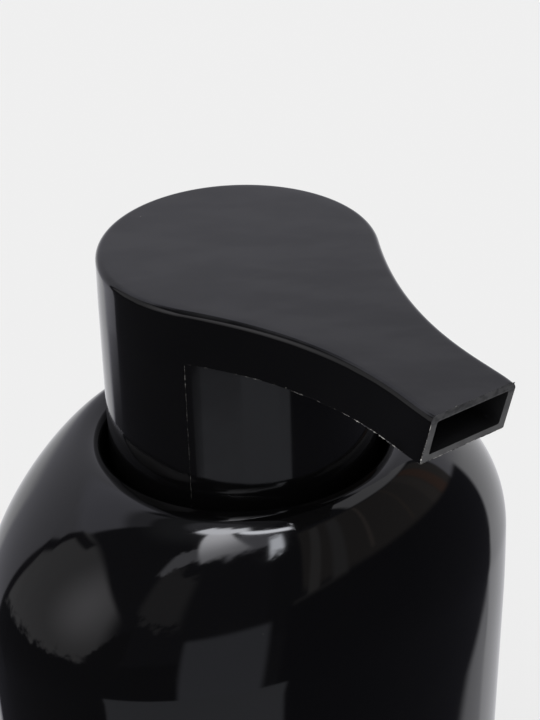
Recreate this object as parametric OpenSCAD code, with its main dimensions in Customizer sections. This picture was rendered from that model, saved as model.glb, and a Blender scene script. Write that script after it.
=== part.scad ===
// Pump bottle for hair dye shampoo. Millimetres, +Z up, standing on its base at Z = 0.
// The pump's axis is the Z axis, and the spout points along -Y.

/* [Bottle] */
// Width of the oval body where it is widest, just under the shoulder
body_w = 87.6; // [84:0.2:100]
// Depth of the oval body, front to back, where it is deepest
body_d = 64.8; // [60:0.2:80]
// Height of the bottle from its base to the crest of the rolled rim
body_h = 135; // [120:1:170]
// Height of the rounded shoulder, from the crest down to the widest section
shoulder_h = 24; // [20:0.5:32]
// How far the shoulder rises straight before it turns in, as a share of its height
shoulder_rise = 0.54; // [0.3:0.02:0.7]
// How far it runs level out from the crest, as a share of its width
shoulder_spread = 0.28; // [0.15:0.01:0.6]
// Lean of the side walls, narrowing towards the base, in degrees
wall_lean = 2.6; // [0:0.1:3]
// Thickness of the bottle's wall
wall = 1.5; // [1.2:0.1:2]
// Radius of the edge round the base
base_round = 5; // [4:0.5:8]

/* [Well and neck] */
// Radius of the well that the pump head plunges into
well_r = 21; // [20.9:0.1:21.6]
// Radius of the rim's roll from the crest into the well
rim_roll = 2.7; // [2:0.1:3.2]
// Depth of the well below the crest
well_depth = 18; // [17:0.5:20]
// Outer radius of the neck that stands in the well
neck_r = 12.5; // [12.2:0.1:12.7]
// Radius of the bore through the neck
neck_bore_r = 10.6; // [9.5:0.1:10.9]
// Height of the neck above the floor of the well
neck_h = 16; // [14:0.5:16.5]

/* [Pump head] */
// Radius of the round back of the head
head_r = 20.5; // [20:0.1:20.7]
// Rise of the head's flat top above the crest of the rim
head_rise = 30.5; // [29:0.5:36]
// Height of the drop-shaped slab that carries the spout
slab_h = 8.3; // [7.8:0.1:9.5]
// Reach of the spout from the pump's axis to its tip
spout_reach = 51.8; // [46:0.2:60]
// Width of the spout at its tip
spout_tip_w = 14.6; // [13:0.2:17]
// Droop of the spout's tip below the level of the top
spout_droop = 1.9; // [0:0.1:2.5]
// Setback of the tip's lower edge
tip_undercut = 2.3; // [0:0.1:3.5]
// Angle round the back circle at which each flank leaves it
flank_angle = 58.8; // [54:0.2:64]
// Rounding of the top edge
edge_r = 1; // [0.5:0.1:1.3]
// Wall of the spout at its mouth
mouth_wall = 1.1; // [0.9:0.1:1.4]
// Thickness of the head's top
top_wall = 1.5; // [1.3:0.1:1.8]
// Wall of the round skirt
skirt_wall = 1.5; // [1.2:0.1:1.7]

/* [Closure] */
// Outer radius over the ribs of the closure collar
collar_r = 17.4; // [16.6:0.1:17.6]
// Number of grip ribs round the collar
collar_ribs = 44; // [36:2:60]
// Thickness of the collar's inward lip
collar_lip = 1.5; // [1.2:0.1:1.8]

/* [Pump] */
// Travel of the head when it is pressed
stroke = 12; // [9:0.5:12.5]
// Outer radius of the stem
stem_r = 3.5; // [3.4:0.05:3.8]
// Radius of the cylinder's bore
cylinder_r = 6.8; // [6.7:0.05:7.2]
// Wall of the cylinder
cylinder_wall = 1.2; // [1:0.1:1.5]
// Height of the piston
piston_h = 9; // [8:0.5:11]
// Thickness of the spring's wire
spring_wire = 0.9; // [0.7:0.05:1]
// Radius of the spring to the middle of its wire
spring_r = 5.2; // [5.1:0.05:5.3]
// Turns of the spring
spring_turns = 7.5; // [6:0.5:8]
// Radius of the inlet ball
inlet_ball_r = 2.4; // [2.2:0.1:2.6]
// Radius of the outlet ball
outlet_ball_r = 1.9; // [1.7:0.05:2]
// Outer radius of the dip tube
tube_r = 3; // [2.7:0.1:3.2]
// Wall of the dip tube
tube_wall = 0.8; // [0.6:0.1:1]
// Length of the dip tube's seat in the cylinder's nozzle
tube_seat = 9; // [7:0.5:12]
// Clearance of the dip tube's tip above the bottle's floor
tube_floor_gap = 5; // [3:0.5:10]

/* [Hidden] */

smooth = 96;
over = 1;
fit_gap = 0.03;
running_gap = 0.08;
loose_gap = 0.1;
stop_gap = 0.2;
rim_land = 0.3;
crest_r = well_r + rim_roll + rim_land;
lean_blend = 14;

gasket_t = 1;
flange_t = 1.4;
flange_r = neck_r + 0.8;
lift_gap = 1;
thread_room = 1.25;

well_z = body_h - well_depth;
neck_z = well_z + neck_h;
flange_z = neck_z + gasket_t;
flange_top = flange_z + flange_t;

collar_bore_r = neck_r + thread_room;
collar_hole_r = 11;
collar_z = well_z + 2;
collar_top = flange_top + loose_gap + collar_lip;
rib_depth = 0.5;

guide_sleeve = 7;
guide_disc_t = 2.2;
guide_tower = 3.4;
guide_disc_r = collar_hole_r - 0.4;
guide_top = flange_top + guide_disc_t + guide_tower;
guide_z = flange_top - guide_sleeve;

piston_top = guide_z - stop_gap;
piston_z = piston_top - piston_h;
piston_hub_r = 4.3;
piston_web = 3;
seal_r = cylinder_r - running_gap;
lip_room_r = cylinder_r - 0.8;
stem_foot_r = stem_r - 0.8;
stem_bore_r = 1.5;
stem_catch = 1.2;

spring_seat_t = 1.5;
spring_room = 6;
spring_z = piston_z - stroke - spring_room;
spring_top = piston_z + piston_web;
spring_seat_z = spring_z - spring_seat_t;
finger_len = 1.5;

inlet_lift = 1.5;
inlet_room_r = inlet_ball_r + 0.8;
inlet_z = spring_seat_z - finger_len - loose_gap - inlet_lift - inlet_ball_r;
inlet_apex = inlet_z - inlet_ball_r * sqrt(2) - 0.05;
inlet_hole_r = 1.5;
nozzle_top = inlet_apex + inlet_hole_r - 1.2;
nozzle_z = nozzle_top - tube_seat;
nozzle_r = tube_r + fit_gap + 1.3;
cylinder_out_r = cylinder_r + cylinder_wall;

head_top = body_h + head_rise;
slab_z = head_top - slab_h;
skirt_z = well_z + stroke + 1.2;
skirt_draft = 0.25;
skirt_seam = 0.06;
flank_sweep = 0.64;
tip_run = 5.4;
tip_taper = 9.3;
boss_z = guide_top + stroke + lift_gap;
boss_r = stem_r + 1.9;
channel_h = 5;
channel_w = 9;
channel_floor_t = 1.2;
channel_z = head_top - top_wall - channel_h;
stem_top = channel_z - channel_floor_t;
outlet_hole_r = 1.3;

outlet_lift = 1.2;
outlet_room_r = outlet_ball_r + 0.5;
outlet_z = stem_top - loose_gap - outlet_lift - outlet_ball_r;
outlet_apex = outlet_z - outlet_ball_r * sqrt(2) - 0.05;

// A closed solid through a stack of rings of points, each clockwise seen from above.
// The end faces are strips across the ring, so an end may curve along its length.
module loft(rings) {
    n = len(rings[0]);
    last = len(rings) - 1;
    half = floor(n / 2) - 1;
    sides = [
        for (k = [0 : last - 1])
            for (i = [0 : n - 1])
                let (a = k * n + i, b = k * n + (i + 1) % n)
                    each [[a, b, b + n], [a, b + n, a + n]]
    ];
    strips = [
        for (i = [0 : half])
            let (a = i, b = i + 1, c = n - i - 1, d = (n - i) % n)
                each [if (b < c) [a, b, c], if (d != a) [a, c, d]]
    ];
    bottom = [for (f = strips) [f[2], f[1], f[0]]];
    top = [for (f = strips) [for (p = f) p + last * n]];
    polyhedron([for (ring = rings) each ring], concat(sides, bottom, top), convexity = 6);
}

// Corner points of an oval ring, clockwise from above
function oval(half_w, half_d, z, n) =
    [for (i = [0 : n - 1]) [half_w * sin(360 * i / n), half_d * cos(360 * i / n), z]];

// Point on a cubic Bezier curve
function bezier(a, b, c, d, t) =
    pow(1 - t, 3) * a + 3 * pow(1 - t, 2) * t * b + 3 * (1 - t) * t * t * c + pow(t, 3) * d;

// How far the wall has come in at a depth below the widest section
function lean_at(depth) =
    tan(wall_lean) * (depth < lean_blend ? depth * depth / (2 * lean_blend) : depth - lean_blend / 2);

// The body's rings: a rounded base, leaning walls and a shoulder that closes to the round crest.
// inset draws the same form inside the wall.
function body_rings(inset, n, base_steps, wall_steps, shoulder_steps) =
    let (
        widest_z = body_h - shoulder_h,
        crest_z = body_h - inset,
        round_r = base_round - inset / 2,
        half_w = body_w / 2 - inset,
        half_d = body_d / 2 - inset
    )
    concat(
        [for (i = [0 : base_steps])
            let (
                a = 90 * i / base_steps,
                z = inset + round_r * (1 - cos(a)),
                pull = lean_at(widest_z - z) + round_r * (1 - sin(a))
            )
            oval(half_w - pull, half_d - pull, z, n)],
        [for (i = [0 : wall_steps - 1])
            let (depth = lean_blend * (1 - i / wall_steps), pull = lean_at(depth))
            oval(half_w - pull, half_d - pull, widest_z - depth, n)],
        [for (i = [0 : shoulder_steps])
            let (p = bezier([1, 0], [1, shoulder_rise], [shoulder_spread, 1], [0, 1], i / shoulder_steps))
            oval(
                crest_r + (half_w - crest_r) * p[0],
                crest_r + (half_d - crest_r) * p[0],
                widest_z + (crest_z - widest_z) * p[1],
                n
            )]
    );

// Space of the well round the neck, opening over the rolled rim
module well_space() {
    roll_steps = 16;
    bead_z = well_z + 3;
    rotate_extrude($fn = smooth)
        polygon(concat(
            [[0, neck_z], [neck_r - 0.4, neck_z], [neck_r, neck_z - 0.4]],
            [[neck_r, bead_z + 1.2], [neck_r + 0.7, bead_z + 0.8]],
            [[neck_r + 0.7, bead_z], [neck_r, bead_z - 0.4], [neck_r, well_z], [well_r, well_z]],
            [for (i = [0 : roll_steps])
                let (a = 90 * i / roll_steps)
                [well_r + rim_roll * (1 - cos(a)), body_h - rim_roll * (1 - sin(a))]],
            [[well_r + rim_roll, body_h + over], [0, body_h + over]]
        ));
}

// Outside of the cup that the well makes in the bottle
module cup_solid() {
    translate([0, 0, well_z - wall])
        cylinder(r = well_r + wall, h = well_depth + wall + over, $fn = smooth);
}

module bottle() {
    color([0.02, 0.02, 0.022])
        difference() {
            loft(body_rings(0, 72, 6, 4, 14));
            difference() {
                loft(body_rings(wall, 48, 4, 2, 8));
                cup_solid();
            }
            well_space();
            translate([0, 0, well_z - wall - over])
                cylinder(r = neck_bore_r, h = neck_h + wall + 2 * over, $fn = smooth);
        }
}

// Ribbed outline of the collar
module collar_outline() {
    step = 360 / collar_ribs;
    root_r = collar_r - rib_depth;
    polygon([
        for (i = [0 : collar_ribs - 1])
            for (p = [[0.14, root_r], [0.3, collar_r], [0.7, collar_r], [0.86, root_r]])
                let (a = (i + p[0]) * step)
                [p[1] * cos(a), p[1] * sin(a)]
    ]);
}

module closure_collar() {
    color([0.03, 0.03, 0.032])
        difference() {
            translate([0, 0, collar_z])
                linear_extrude(collar_top - collar_z)
                    collar_outline();
            translate([0, 0, collar_z - over])
                cylinder(r = collar_bore_r, h = collar_top - collar_lip - collar_z + over, $fn = smooth);
            translate([0, 0, collar_z - over])
                cylinder(r = collar_hole_r, h = collar_top - collar_z + 2 * over, $fn = smooth);
            collar_chamfer();
        }
}

// Ring that bevels the collar's top edge
module collar_chamfer() {
    bevel = 0.8;
    rotate_extrude($fn = smooth)
        polygon([
            [collar_r - bevel - rib_depth, collar_top + 0.01],
            [collar_r + over, collar_top - bevel - rib_depth - over],
            [collar_r + over, collar_top + over],
            [collar_r - bevel - rib_depth, collar_top + over]
        ]);
}

module gasket() {
    color([0.85, 0.85, 0.83])
        translate([0, 0, neck_z])
            difference() {
                cylinder(r = flange_r, h = gasket_t, $fn = smooth);
                translate([0, 0, -over])
                    cylinder(r = cylinder_out_r + 0.8, h = gasket_t + 2 * over, $fn = smooth);
            }
}

module pump_cylinder() {
    chamber_out_r = inlet_room_r + cylinder_wall;
    vent_r = 0.5;
    color([0.9, 0.9, 0.88])
        difference() {
            rotate_extrude($fn = smooth)
                polygon([
                    [cylinder_r, flange_top],
                    [flange_r, flange_top],
                    [flange_r, flange_z],
                    [cylinder_out_r, flange_z],
                    [cylinder_out_r, spring_seat_z - cylinder_wall],
                    [chamber_out_r, spring_seat_z - cylinder_wall - 3],
                    [chamber_out_r, inlet_apex + inlet_hole_r],
                    [nozzle_r, nozzle_top],
                    [nozzle_r, nozzle_z],
                    [tube_r + fit_gap, nozzle_z],
                    [tube_r + fit_gap, nozzle_top],
                    [inlet_hole_r, nozzle_top],
                    [inlet_hole_r, inlet_apex + inlet_hole_r],
                    [inlet_room_r, inlet_apex + inlet_room_r],
                    [inlet_room_r, spring_seat_z],
                    [cylinder_r, spring_seat_z]
                ]);
            translate([0, 0, guide_z - 1.5])
                rotate([0, 90, 0])
                    cylinder(r = vent_r, h = cylinder_out_r + over, $fn = 24);
        }
}

module guide_ring() {
    bore_r = stem_r + loose_gap;
    sleeve_r = cylinder_r - 0.05;
    color([0.03, 0.03, 0.032])
        rotate_extrude($fn = smooth)
            polygon([
                [bore_r, guide_top],
                [bore_r + 1.7, guide_top],
                [bore_r + 2.5, flange_top + guide_disc_t],
                [guide_disc_r - 0.6, flange_top + guide_disc_t],
                [guide_disc_r, flange_top + guide_disc_t - 0.6],
                [guide_disc_r, flange_top],
                [sleeve_r, flange_top],
                [sleeve_r, guide_z],
                [sleeve_r - 1.4, guide_z],
                [sleeve_r - 1.4, flange_top - 1.2],
                [bore_r, flange_top - 1.2]
            ]);
}

module stem() {
    catch_r = stem_foot_r + 0.7;
    catch_z = piston_z - loose_gap;
    color([0.9, 0.9, 0.88])
        rotate_extrude($fn = smooth)
            polygon([
                [outlet_room_r, stem_top],
                [stem_r - 0.3, stem_top],
                [stem_r, stem_top - 0.3],
                [stem_r, piston_top + loose_gap],
                [stem_foot_r, piston_top + loose_gap],
                [stem_foot_r, catch_z],
                [catch_r, catch_z],
                [stem_foot_r, catch_z - stem_catch],
                [stem_bore_r, catch_z - stem_catch],
                [stem_bore_r, outlet_apex + stem_bore_r],
                [outlet_room_r, outlet_apex + outlet_room_r]
            ]);
}

module piston() {
    core_r = stem_foot_r + 0.05;
    waist_r = cylinder_r - 0.45;
    lip_edge_r = lip_room_r + 0.35;
    web_top = piston_z + 2 * piston_web;
    color([0.93, 0.93, 0.92])
        rotate_extrude($fn = smooth)
            polygon([
                [core_r, piston_z],
                [piston_hub_r, piston_z],
                [piston_hub_r, spring_top],
                [lip_room_r, spring_top],
                [lip_edge_r, piston_z],
                [seal_r, piston_z],
                [waist_r, spring_top],
                [waist_r, web_top],
                [seal_r, piston_top],
                [lip_edge_r, piston_top],
                [lip_room_r, web_top],
                [piston_hub_r, web_top],
                [piston_hub_r, piston_top],
                [core_r, piston_top]
            ]);
}

// Height of the spring's middle line after t turns: both end turns lie closed
function spring_level(t) =
    let (
        closed = 1,
        low = spring_z + spring_wire / 2 + 0.05,
        high = spring_top - spring_wire / 2 - 0.05,
        rise = (high - low - 2 * closed * spring_wire) / (spring_turns - 2 * closed)
    )
    t < closed ? low + t * spring_wire
    : t > spring_turns - closed ? high - (spring_turns - t) * spring_wire
    : low + closed * spring_wire + (t - closed) * rise;

module return_spring() {
    sides = 6;
    steps_per_turn = 20;
    rings = spring_turns * steps_per_turn;
    points = [
        for (k = [0 : rings])
            let (turn = k / steps_per_turn, a = 360 * turn, z = spring_level(turn))
                for (s = [0 : sides - 1])
                    let (
                        b = 360 * s / sides,
                        r = spring_r + spring_wire / 2 * cos(b)
                    )
                    [r * cos(a), r * sin(a), z + spring_wire / 2 * sin(b)]
    ];
    walls = [
        for (k = [0 : rings - 1])
            for (s = [0 : sides - 1])
                let (a = k * sides + s, b = k * sides + (s + 1) % sides)
                    each [[a, b, b + sides], [a, b + sides, a + sides]]
    ];
    ends = [
        [for (s = [sides - 1 : -1 : 0]) s],
        [for (s = [0 : sides - 1]) rings * sides + s]
    ];
    color([0.7, 0.71, 0.73])
        polyhedron(points, concat(walls, ends), convexity = 10);
}

module spring_seat() {
    disc_r = cylinder_r - 0.05;
    hub_r = spring_r - spring_wire / 2 - 0.5;
    hub_h = 2;
    finger_r = inlet_room_r - 0.05;
    passage_r = inlet_ball_r - 0.8;
    slot_w = 1.2;
    color([0.9, 0.9, 0.88])
        difference() {
            union() {
                translate([0, 0, spring_seat_z])
                    cylinder(r = disc_r, h = spring_seat_t, $fn = smooth);
                translate([0, 0, spring_z - over])
                    cylinder(r = hub_r, h = hub_h + over, $fn = smooth);
                translate([0, 0, spring_seat_z - finger_len])
                    cylinder(r = finger_r, h = finger_len + over, $fn = smooth);
            }
            translate([0, 0, spring_seat_z - finger_len - over])
                cylinder(r = passage_r, h = finger_len + spring_seat_t + hub_h + 2 * over, $fn = 48);
            for (a = [0, 90])
                rotate([0, 0, a])
                    translate([-finger_r - over, -slot_w / 2, spring_seat_z - finger_len - over])
                        cube([2 * (finger_r + over), slot_w, finger_len + over]);
        }
}

module inlet_ball() {
    color([0.75, 0.76, 0.78])
        translate([0, 0, inlet_z])
            sphere(r = inlet_ball_r, $fn = 48);
}

module outlet_ball() {
    color([0.75, 0.76, 0.78])
        translate([0, 0, outlet_z])
            sphere(r = outlet_ball_r, $fn = 48);
}

module dip_tube() {
    tip_z = wall + tube_floor_gap;
    tip_angle = 35;
    color([0.88, 0.88, 0.86])
        difference() {
            translate([0, 0, tip_z])
                cylinder(r = tube_r, h = nozzle_top - fit_gap - tip_z, $fn = 64);
            translate([0, 0, tip_z - over])
                cylinder(r = tube_r - tube_wall, h = nozzle_top - tip_z + 2 * over, $fn = 64);
            translate([-tube_r, 0, tip_z])
                rotate([0, -tip_angle, 0])
                    translate([-over, -2 * tube_r, -6 * tube_r])
                        cube([6 * tube_r, 4 * tube_r, 6 * tube_r]);
        }
}

// One side of the head's outline, from the middle of the back to the corner of the tip.
// X runs out along the spout here and Y across it.
function half_outline(arc_steps, flank_steps) =
    let (
        start = head_r * [cos(flank_angle), sin(flank_angle)],
        corner = [spout_reach, spout_tip_w / 2],
        leave = [sin(flank_angle), -cos(flank_angle)],
        arrive = [cos(tip_taper), -sin(tip_taper)],
        sweep = flank_sweep * (spout_reach - start[0])
    )
    concat(
        [for (i = [0 : arc_steps])
            let (a = 180 - i * (180 - flank_angle) / arc_steps)
            head_r * [cos(a), sin(a)]],
        [for (i = [1 : flank_steps])
            bezier(start, start + sweep * leave, corner - tip_run * arrive, corner, i / flank_steps)]
    );

function head_outline(half) =
    concat(half, [for (i = [len(half) - 1 : -1 : 1]) [half[i][0], -half[i][1]]]);

// Outward direction at each point of the outline, square to the spout at the tip
function outward(outline, i) =
    let (
        n = len(outline),
        p = outline[i],
        d = outline[(i + 1) % n] - outline[(i + n - 1) % n]
    )
    abs(p[0] - spout_reach) < 0.001 ? [0, sign(p[1])] : [-d[1], d[0]] / norm(d);

function top_level(u) = head_top - spout_droop * pow(max(u, 0) / spout_reach, 2);

// Share of the way from the round back to the tip
function along_spout(u) = max(u - head_r, 0) / (spout_reach - head_r);

// Drop-shaped slab: level underside at the back, undercut tip, rounded top edge
module head_slab() {
    outline = head_outline(half_outline(18, 18));
    n = len(outline);
    edge_steps = 4;
    underside = [
        for (p = outline)
            let (s = along_spout(p[0]))
            [p[0] - tip_undercut * s, p[1], slab_z - spout_droop * s]
    ];
    edge = [
        for (k = [0 : edge_steps])
            let (a = 90 * k / edge_steps, inset = edge_r * (1 - cos(a)))
            [for (i = [0 : n - 1])
                let (p = outline[i] - inset * outward(outline, i))
                [p[0], p[1], top_level(p[0]) - edge_r + edge_r * sin(a)]]
    ];
    loft(concat([underside], edge));
}

// Tapered passage from the stem to the mouth; grow adds a wall round it
module spout_passage(start, finish, grow) {
    mouth_w = spout_tip_w - 2 * mouth_wall;
    mouth_top = head_top - spout_droop - mouth_wall;
    mouth_floor = slab_z - spout_droop + mouth_wall;
    function at(u, a, b) = a + (b - a) * u / spout_reach;
    intersection() {
        translate([0, 0, slab_z - 10])
            linear_extrude(slab_h + 20)
                polygon([
                    [start, -at(start, channel_w, mouth_w) / 2 - grow],
                    [finish, -at(finish, channel_w, mouth_w) / 2 - grow],
                    [finish, at(finish, channel_w, mouth_w) / 2 + grow],
                    [start, at(start, channel_w, mouth_w) / 2 + grow]
                ]);
        translate([0, head_r, 0])
            rotate([90, 0, 0])
                linear_extrude(2 * head_r)
                    polygon([
                        [start, at(start, channel_z, mouth_floor) - grow],
                        [finish, at(finish, channel_z, mouth_floor) - grow],
                        [finish, at(finish, channel_z + channel_h, mouth_top) + grow],
                        [start, at(start, channel_z + channel_h, mouth_top) + grow]
                    ]);
    }
}

module pump_head() {
    hollow_r = head_r - skirt_draft - skirt_wall;
    rib_t = 1;
    rib_h = 4;
    color([0.035, 0.035, 0.038])
        rotate([0, 0, -90])
            difference() {
                union() {
                    difference() {
                        union() {
                            head_slab();
                            translate([0, 0, skirt_z])
                                cylinder(
                                    r1 = head_r - skirt_draft,
                                    r2 = head_r - skirt_seam,
                                    h = slab_z - skirt_z,
                                    $fn = 2 * smooth
                                );
                        }
                        translate([0, 0, skirt_z - over])
                            cylinder(r = hollow_r, h = head_top - top_wall - skirt_z + over, $fn = smooth);
                    }
                    translate([0, 0, boss_z])
                        cylinder(r = boss_r, h = head_top - top_wall / 2 - boss_z, $fn = smooth);
                    spout_passage(-6, hollow_r + 0.7, channel_floor_t);
                    for (a = [90, 180, 270])
                        rotate([0, 0, a])
                            translate([0, -rib_t / 2, head_top - top_wall - rib_h])
                                cube([hollow_r + 0.5, rib_t, rib_h + top_wall / 2]);
                }
                spout_passage(-4.5, spout_reach + over, 0);
                translate([0, 0, boss_z - over])
                    cylinder(r = stem_r + fit_gap, h = stem_top - boss_z + over, $fn = smooth);
                translate([0, 0, stem_top - over])
                    cylinder(r = outlet_hole_r, h = channel_floor_t + 2 * over, $fn = 48);
                translate([0, 0, boss_z - over])
                    cylinder(r1 = stem_r + 1.4, r2 = stem_r, h = 1.4, $fn = smooth);
            }
}

bottle();
closure_collar();
gasket();
pump_cylinder();
guide_ring();
stem();
piston();
return_spring();
spring_seat();
inlet_ball();
outlet_ball();
dip_tube();
pump_head();
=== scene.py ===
# Looks of the pump bottle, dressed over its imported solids.
import math
import random

import bmesh
import bpy
from mathutils import Matrix, Vector, geometry


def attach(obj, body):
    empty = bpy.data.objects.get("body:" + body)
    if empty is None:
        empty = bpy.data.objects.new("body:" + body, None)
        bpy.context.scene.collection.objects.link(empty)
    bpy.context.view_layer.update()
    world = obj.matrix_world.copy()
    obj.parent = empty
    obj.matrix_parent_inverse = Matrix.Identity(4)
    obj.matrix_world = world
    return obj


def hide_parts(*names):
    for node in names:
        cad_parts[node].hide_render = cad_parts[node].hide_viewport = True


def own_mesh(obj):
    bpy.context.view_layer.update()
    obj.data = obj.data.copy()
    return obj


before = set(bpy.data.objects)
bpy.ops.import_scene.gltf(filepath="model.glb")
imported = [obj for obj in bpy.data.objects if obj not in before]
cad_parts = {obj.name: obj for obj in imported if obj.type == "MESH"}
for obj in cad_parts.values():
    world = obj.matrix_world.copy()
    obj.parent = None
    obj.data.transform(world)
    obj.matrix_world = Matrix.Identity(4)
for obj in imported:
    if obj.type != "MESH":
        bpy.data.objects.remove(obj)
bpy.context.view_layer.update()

MM = 0.001

# Sizes shared with the solids, in millimetres
BODY_W, BODY_D, BODY_H = 87.6, 64.8, 135.0
SHOULDER_H, SHOULDER_RISE, SHOULDER_SPREAD = 24.0, 0.54, 0.28
WALL_LEAN, LEAN_BLEND, WALL, BASE_ROUND = 2.6, 14.0, 1.5, 5.0
WELL_R, RIM_ROLL, RIM_LAND, WELL_Z = 21.0, 2.7, 0.3, 117.0
NECK_R, NECK_BORE_R, NECK_Z = 12.5, 10.6, 133.0
CREST_R = WELL_R + RIM_ROLL + RIM_LAND
HEAD_R, HEAD_TOP, SLAB_H, SKIRT_Z = 20.5, 165.5, 8.3, 130.2
SPOUT_REACH, SPOUT_TIP_W, SPOUT_DROOP, TIP_UNDERCUT = 51.8, 14.6, 1.9, 2.3
FLANK_ANGLE, FLANK_SWEEP, TIP_RUN, TIP_TAPER = 58.8, 0.64, 5.4, 9.3
EDGE_R, MOUTH_WALL, TOP_WALL, SKIRT_WALL, SKIRT_DRAFT = 1.0, 1.1, 1.5, 1.5, 0.25
BOSS_Z, BOSS_R, STEM_R, STEM_TOP, OUTLET_HOLE_R = 154.0, 5.4, 3.53, 157.8, 1.3
CHANNEL_Z, CHANNEL_H, CHANNEL_W, CHANNEL_FLOOR = 159.0, 5.0, 9.0, 1.2
SLAB_Z = HEAD_TOP - SLAB_H
THREAD_PITCH, THREAD_DEPTH = 4.23, 1.05
SPRING_FOOT, SPRING_HEAD, SPRING_R, SPRING_WIRE = 101.2, 122.2, 5.2, 0.9
SPRING_TURNS, STROKE = 7.5, 12.0

# Sizes of fine detail that the solids leave out
BASE_RECESS, SEAM_GROOVE, SEAM_STEP, SEAM_RIDGE = 0.7, 0.03, 0.04, 0.05
THREAD_LOW, THREAD_HIGH, THREAD_PHASE = 121.6, 131.8, 0.35
THREAD_HALF_FOOT, THREAD_FLANK, THREAD_FADE = 1.05, 0.45, 0.9
HOLLOW_R = HEAD_R - SKIRT_DRAFT - SKIRT_WALL
BURIED = HEAD_TOP - 0.75
ARC_STEPS, FLANK_STEPS = 66, 48


def bezier(points, t):
    weights = ((1 - t) ** 3, 3 * (1 - t) ** 2 * t, 3 * (1 - t) * t * t, t ** 3)
    return tuple(sum(w * p[axis] for w, p in zip(weights, points)) for axis in (0, 1))


def smooth_step(x):
    x = min(max(x, 0.0), 1.0)
    return x * x * (3 - 2 * x)


def make_object(name, mesh):
    obj = bpy.data.objects.new(name, mesh)
    bpy.context.scene.collection.objects.link(obj)
    return obj


def mesh_of(name, verts, faces, sharp=40.0):
    """Mesh from points in millimetres, with its faces turned outward."""
    mesh = bpy.data.meshes.new(name)
    mesh.from_pydata([(x * MM, y * MM, z * MM) for x, y, z in verts], [], faces)
    work = bmesh.new()
    work.from_mesh(mesh)
    bmesh.ops.recalc_face_normals(work, faces=work.faces)
    work.to_mesh(mesh)
    work.free()
    shade(mesh, sharp)
    return mesh


def shade(mesh, sharp=40.0):
    for polygon in mesh.polygons:
        polygon.use_smooth = True
    mesh.set_sharp_from_angle(angle=math.radians(sharp))


def ring_skin(rings):
    """Closed skin through rings of equal count, with a point at each end."""
    n = len(rings[0])
    verts = [p for ring in rings for p in ring]
    faces = []
    for k in range(len(rings) - 1):
        for i in range(n):
            j = (i + 1) % n
            faces.append((k * n + i, k * n + j, (k + 1) * n + j, (k + 1) * n + i))
    for k in (0, len(rings) - 1):
        ring = rings[k]
        middle = tuple(sum(p[axis] for p in ring) / n for axis in (0, 1, 2))
        verts.append(middle)
        for i in range(n):
            faces.append((k * n + i, k * n + (i + 1) % n, len(verts) - 1))
    return verts, faces


# The bottle
def lean_at(depth):
    run = depth * depth / (2 * LEAN_BLEND) if depth < LEAN_BLEND else depth - LEAN_BLEND / 2
    return math.tan(math.radians(WALL_LEAN)) * run


def body_profile(inset, base_steps, wall_steps, blend_steps, shoulder_steps):
    """Half axes and height of the body's rings, from the base up to the crest."""
    widest = BODY_H - SHOULDER_H
    crest = BODY_H - inset
    radius = BASE_ROUND - inset / 2
    half_w, half_d = BODY_W / 2 - inset, BODY_D / 2 - inset
    rows = []
    for i in range(base_steps + 1):
        a = math.pi / 2 * i / base_steps
        z = inset + radius * (1 - math.cos(a))
        pull = lean_at(widest - z) + radius * (1 - math.sin(a))
        rows.append((half_w - pull, half_d - pull, z))
    low = inset + radius
    for i in range(1, wall_steps):
        z = low + (widest - LEAN_BLEND - low) * i / wall_steps
        pull = lean_at(widest - z)
        rows.append((half_w - pull, half_d - pull, z))
    for i in range(blend_steps):
        depth = LEAN_BLEND * (1 - i / blend_steps)
        pull = lean_at(depth)
        rows.append((half_w - pull, half_d - pull, widest - depth))
    curve = ((1, 0), (1, SHOULDER_RISE), (SHOULDER_SPREAD, 1), (0, 1))
    for i in range(shoulder_steps + 1):
        out, up = bezier(curve, i / shoulder_steps)
        rows.append((
            CREST_R + (half_w - CREST_R) * out,
            CREST_R + (half_d - CREST_R) * out,
            widest + (crest - widest) * up,
        ))
    return rows


def round_rows(points):
    return [(r, r, z) for r, z in points]


def arc(center, radius, start, finish, steps):
    rows = []
    for i in range(steps + 1):
        a = math.radians(start + (finish - start) * i / steps)
        rows.append((center[0] + radius * math.cos(a), center[1] + radius * math.sin(a)))
    return rows


def thread_height(angle, z):
    """Share of the neck thread's depth at a point of the neck, fading at its ends."""
    turns = (z - THREAD_LOW) / THREAD_PITCH - angle / (2 * math.pi) - THREAD_PHASE
    off = abs(turns - round(turns)) * THREAD_PITCH
    ridge = min(max((THREAD_HALF_FOOT - off) / THREAD_FLANK, 0.0), 1.0)
    fade = smooth_step((z - THREAD_LOW) / THREAD_FADE) * smooth_step((THREAD_HIGH - z) / THREAD_FADE)
    return ridge * fade


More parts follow.
